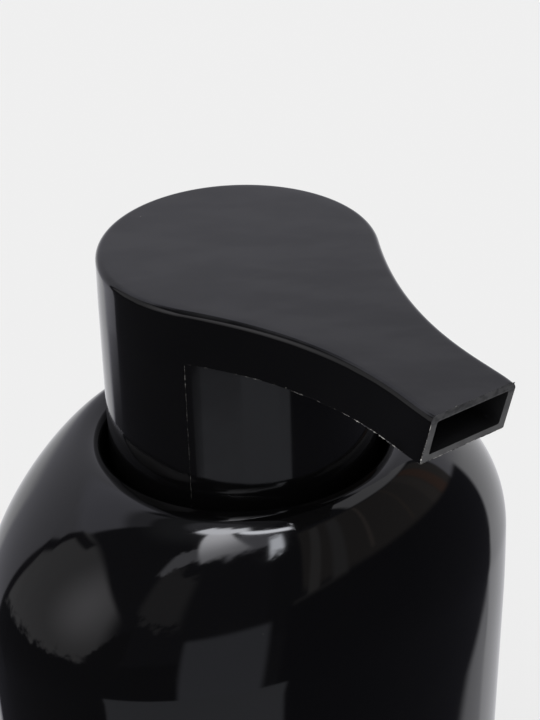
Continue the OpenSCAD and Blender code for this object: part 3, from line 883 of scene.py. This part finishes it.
# The satin lies in the passage and on the spout's end face
for polygon in head.data.polygons:
    x, u, z = polygon.center.x / MM, -polygon.center.y / MM, polygon.center.z / MM
    half, low, high = passage_section(u)
    in_passage = u > 3 and abs(x) < half + 0.05 and low - 0.05 < z < high + 0.05
    polygon.material_index = int(in_passage or (u > SPOUT_REACH - 3 and polygon.normal.y < -0.9))

# The camera, solved from the outline of the head's top
SENSOR_HEIGHT, FRAME_HEIGHT_PX = 36, 720
distance, tilt, roll, focal_px = 410.0, math.radians(30.0063), math.radians(-1.8605), 2853.4
offset_x, offset_y = -32.5636, 113.8689
heading = math.radians(-36.41)
forward = Vector((0, math.cos(tilt), -math.sin(tilt)))
level = Vector((1, 0, 0))
upright = Vector((0, math.sin(tilt), math.cos(tilt)))
right = math.cos(roll) * level + math.sin(roll) * upright
up = -math.sin(roll) * level + math.cos(roll) * upright
place = -(distance * forward + offset_x / focal_px * distance * right + offset_y / focal_px * distance * up)
spin = Matrix.Rotation(heading, 3, "Z")
place, right, up, back = (spin @ v for v in (place, right, up, -forward))
camera_data = bpy.data.cameras.new("camera")
camera_data.sensor_fit = "VERTICAL"
camera_data.sensor_height = SENSOR_HEIGHT
camera_data.lens = SENSOR_HEIGHT * focal_px / FRAME_HEIGHT_PX
camera_data.clip_start, camera_data.clip_end = 0.01, 20
camera = bpy.data.objects.new("camera", camera_data)
bpy.context.scene.collection.objects.link(camera)
frame_matrix = Matrix((right, up, back)).transposed().to_4x4()
frame_matrix.translation = (place + Vector((0, 0, HEAD_TOP))) * MM
camera.matrix_world = frame_matrix
bpy.context.scene.camera = camera

# What gloss sees round the bottle, by direction from the view: 0 is straight back, 90 to the right
class Surround:
    def __init__(self, wires, direction):
        self.w = wires
        aside, ahead = spin @ Vector((1, 0, 0)), spin @ Vector((0, 1, 0))
        turn = wires.math("ARCTAN2", wires.along(direction, aside), wires.along(direction, ahead))
        rise = wires.math("ARCSINE", wires.along(direction, (0, 0, 1)))
        self.bearing = wires.math("MULTIPLY", turn, 180 / math.pi)
        self.elevation = wires.math("MULTIPLY", rise, 180 / math.pi)
        node = wires.nodes.new("ShaderNodeTexNoise")
        wires.feed(node.inputs["Vector"], direction)
        node.inputs["Scale"].default_value = 9
        node.inputs["Detail"].default_value = 3
        node.inputs["Roughness"].default_value = 0.65
        self.wobble = wires.math("SUBTRACT", node.outputs["Fac"], 0.5)

    def off(self, middle, lean=0.0):
        """Degrees from a bearing that leans by so many degrees a degree of height."""
        w = self.w
        line = w.math("MULTIPLY_ADD", self.elevation, lean, middle)
        return w.math("WRAP", w.math("SUBTRACT", self.bearing, line), 180, -180)

    def patch(self, middle, half_width, low, high, soft, lean=0.0, soft_up=None, ragged=0.0, slope=0.0):
        """Share of a soft-edged patch; slope tips its top and bottom, ragged tears them."""
        w = self.w
        soft_up = soft if soft_up is None else soft_up
        turn = self.off(middle, lean)
        level = self.elevation
        if ragged:
            level = w.math("MULTIPLY_ADD", self.wobble, ragged, level)
        if slope:
            level = w.math("MULTIPLY_ADD", turn, -slope, level)
        side = w.ramp(w.math("ABSOLUTE", turn), half_width + soft / 2, half_width - soft / 2)
        floor_edge = w.ramp(level, low - soft_up / 2, low + soft_up / 2)
        top_edge = w.ramp(level, high + soft_up / 2, high - soft_up / 2)
        return w.math("MULTIPLY", side, w.math("MULTIPLY", floor_edge, top_edge))

    def blob(self, middle, level, half_width, half_height):
        """Share of a round soft glow."""
        w = self.w
        x = w.math("DIVIDE", self.off(middle), half_width)
        y = w.math("DIVIDE", w.math("SUBTRACT", self.elevation, level), half_height)
        size = w.math("SQRT", w.math("ADD", w.math("MULTIPLY", x, x), w.math("MULTIPLY", y, y)))
        return w.ramp(size, 1.0, 0.0)

    def window(self):
        """Share of the arched opening to the left."""
        w = self.w
        across = self.off(-92)
        arch = w.math("SUBTRACT", 46.5, w.math("MULTIPLY", w.math("MULTIPLY", across, across), 0.0085))
        under = w.ramp(w.math("SUBTRACT", arch, self.elevation), -2, 2)
        sill = w.ramp(w.math("MULTIPLY_ADD", self.wobble, 22, self.elevation), -9, -2)
        side = w.ramp(self.bearing, -150, -137)
        before = w.ramp(self.off(-67.5, -0.2), 1, -1)
        return w.math("MULTIPLY", w.math("MULTIPLY", under, sill), w.math("MULTIPLY", side, before))


def surround_colour(wires, direction):
    s = Surround(wires, direction)
    w = wires
    colour = w.mix(w.ramp(s.elevation, 60, 72), (0.06, 0.06, 0.072), (0.15, 0.155, 0.17))
    bulb = w.mix(w.ramp(s.elevation, 47, 72), (2.2, 2.2, 2.35), (7.6, 7.6, 8.0))
    layers = (
        # The room to the right, with upright stripes, and something pale above it
        (s.patch(62, 45, 30, 54, 6, soft_up=4, slope=0.12), (0.8, 0.8, 0.84)),
        (s.patch(98, 41, -1, 33, 3, soft_up=4, slope=0.14), (0.165, 0.152, 0.148)),
        (s.patch(66, 3, 0, 29, 3), (0.25, 0.16, 0.13)),
        (s.patch(73, 3, 0, 30, 2), (0.2, 0.18, 0.17)),
        (s.patch(88.5, 0.8, 3, 32, 1.5, lean=-0.1), (0.22, 0.185, 0.165)),
        (s.patch(110, 0.9, 4, 33, 1.5, lean=-0.12), (0.3, 0.26, 0.24)),
        (s.patch(124.5, 3, 0, 34, 3, lean=-0.1), (0.24, 0.235, 0.24)),
        (s.patch(135, 2.2, -4, 36, 2, lean=-0.12), (0.28, 0.27, 0.27)),
        (s.patch(145, 6, -8, 38, 2, slope=0.1), (0.05, 0.05, 0.06)),
        (s.patch(132, 10, -9, 2, 2, soft_up=2), (0.165, 0.16, 0.165)),
        # The pale sheet behind, and its dimmer upper end
        (s.patch(-57, 21, 50, 66, 6, soft_up=3), (0.3, 0.3, 0.34)),
        (s.patch(-3, 62, -90, 41, 1.5, lean=-0.2), (0.56, 0.557, 0.62)),
        (s.patch(-10, 68, 40, 57, 3, soft_up=5), (0.56, 0.557, 0.62)),
        (s.patch(-40, 38, 40, 58, 6, soft_up=6), (0.68, 0.68, 0.78)),
        (s.patch(6, 46, -90, 2, 6, soft_up=14), (0.88, 0.88, 0.91)),
        (s.patch(28, 30, -90, -28, 8, soft_up=10), (0.72, 0.72, 0.75)),
        (s.patch(-60, 17, -90, -30, 4), (0.05, 0.05, 0.06)),
        # The window to the left, and the dark line beside it
        (s.window(), (0.44, 0.435, 0.45)),
        (w.math("MULTIPLY", s.window(), s.blob(-124, 26, 30, 30)), (1.02, 1.0, 1.05)),
        (s.patch(-145, 10, -12, 9, 3, soft_up=3, slope=-0.9, ragged=16), (0.045, 0.045, 0.052)),
        (s.patch(-67.5, 1.6, -6, 41, 1.5, lean=-0.2), (0.045, 0.042, 0.055)),
        (s.patch(-82, 8, 40, 44.5, 3, soft_up=2, slope=-0.25), (0.06, 0.058, 0.07)),
        # Dark boards low on both sides, and the pale floor at the right one's corner
        (s.patch(-122, 58, -46, -7, 4, soft_up=2.5, ragged=9), (0.042, 0.042, 0.05)),
        (s.patch(97.5, 46.5, -46, 1, 3, soft_up=2.5), (0.04, 0.04, 0.05)),
        (s.patch(72.3, 4, -37, -26, 4, lean=0.64, soft_up=3), (0.04, 0.04, 0.05)),
        (s.patch(55.5, 10.5, -90, -37.7, 4, soft_up=2, slope=-0.32), (0.5, 0.5, 0.53)),
        # The pale table in front
        (s.patch(165, 15.5, -90, 1, 3, soft_up=3, slope=0.18), (0.37, 0.38, 0.43)),
        (s.patch(178, 37.5, -90, -31, 2, soft_up=1.0), (0.36, 0.37, 0.41)),
        # The floor low on both sides
        (s.patch(-92, 54, -90, -46, 4, soft_up=3), (0.72, 0.72, 0.74)),
        (s.patch(88, 58, -90, -46, 4, soft_up=3), (0.8, 0.8, 0.82)),
        # The lamps above the front: a soft glow, a bulb, a tube and a small lamp
        (s.patch(-120, 80, 76, 90, 12, soft_up=4), (0.45, 0.45, 0.5)),
        (s.patch(-164, 11, 17, 43, 6, soft_up=5, ragged=26, slope=0.5), (0.2, 0.195, 0.205)),
        (s.patch(162, 13.5, 43, 64, 3, soft_up=3, ragged=12), (0.9, 0.9, 1.0)),
        (s.patch(-161, 11, 47, 58, 4, soft_up=3, ragged=18, slope=-0.3), (0.85, 0.85, 0.92)),
        (s.patch(141, 13, 46, 81, 3, lean=0.75, soft_up=4, ragged=10), bulb),
        (s.patch(156, 17, 57, 62.5, 4, soft_up=2.5, slope=0.6), (12.0, 12.2, 13.0)),
        (s.patch(-160, 36, 72, 79, 8, soft_up=3, slope=0.1), (9.5, 9.6, 10.2)),
        (s.patch(149.3, 3.4, 31, 48, 2.5, soft_up=5, ragged=16), (7.4, 7.6, 8.2)),
    )
    for share, shade_colour in layers:
        colour = w.mix(share, colour, shade_colour)
    return colour


def ray_kind(wires, *names):
    """Share of rays of the named kinds."""
    path = wires.nodes.new("ShaderNodeLightPath")
    total = path.outputs[names[0]]
    for name in names[1:]:
        total = wires.math("MAXIMUM", total, path.outputs[name])
    return total


def pick(wires, share, first, second):
    """Shader that is first where share is 0 and second where it is 1."""
    node = wires.nodes.new("ShaderNodeMixShader")
    for socket, value in zip(node.inputs, (share, first, second)):
        wires.feed(socket, value)
    return node.outputs[0]


# The background's tone, and the lit and glowing parts of the floor, which come to about the same
PALE = 0.863
FLOOR_SHARE = 0.25
FLOOR_GLOW = 0.647
FLOOR_HALF = 6

# The floor takes shadows; gloss sees the studio through it
floor_mesh = bpy.data.meshes.new("floor")
floor_corners = [(x * FLOOR_HALF, y * FLOOR_HALF, 0) for x, y in ((-1, -1), (1, -1), (1, 1), (-1, 1))]
floor_mesh.from_pydata(floor_corners, [], [(0, 1, 2, 3)])
floor = make_object("floor", floor_mesh)
mat, w, shader = material("floor_pale")
w.nodes.remove(shader)
matte = w.nodes.new("ShaderNodeBsdfDiffuse")
matte.inputs["Color"].default_value = (FLOOR_SHARE, FLOOR_SHARE, FLOOR_SHARE, 1)
lit = w.nodes.new("ShaderNodeEmission")
lit.inputs["Strength"].default_value = FLOOR_GLOW
pale = w.nodes.new("ShaderNodeAddShader")
w.feed(pale.inputs[0], matte.outputs[0])
w.feed(pale.inputs[1], lit.outputs[0])
clear = w.nodes.new("ShaderNodeBsdfTransparent")
w.feed(w.nodes["Material Output"].inputs["Surface"],
       pick(w, ray_kind(w, "Is Glossy Ray"), pale.outputs[0], clear.outputs[0]))
floor.data.materials.append(mat)

# The world
world = bpy.data.worlds.new("studio")
bpy.context.scene.world = world
world.use_nodes = True
w = Wires(world.node_tree)


def glow(colour):
    node = w.nodes.new("ShaderNodeBackground")
    w.feed(node.inputs["Color"], colour)
    return node.outputs[0]


w.nodes.remove(w.nodes["Background"])
direction = w.nodes.new("ShaderNodeTexCoord").outputs["Generated"]
studio = pick(w, ray_kind(w, "Is Glossy Ray"), glow((0.5, 0.5, 0.5)), glow(surround_colour(w, direction)))
w.feed(w.nodes["World Output"].inputs["Surface"],
       pick(w, ray_kind(w, "Is Camera Ray", "Is Transmission Ray"), studio, glow((PALE, PALE, PALE))))

# The lamps
def sun(name, bearing_from_back, elevation, strength, spread):
    data = bpy.data.lights.new(name, "SUN")
    data.energy = strength
    data.angle = math.radians(spread)
    lamp = bpy.data.objects.new(name, data)
    bpy.context.scene.collection.objects.link(lamp)
    a, e = math.radians(bearing_from_back), math.radians(elevation)
    toward = spin @ Vector((math.sin(a) * math.cos(e), math.cos(a) * math.cos(e), math.sin(e)))
    lamp.rotation_euler = toward.to_track_quat("Z", "Y").to_euler()
    lamp.visible_glossy = False


sun("key", -170, 58, 1.1, 40)
sun("fill", -122, 30, 0.5, 50)

bpy.context.scene.view_settings.view_transform = "Standard"
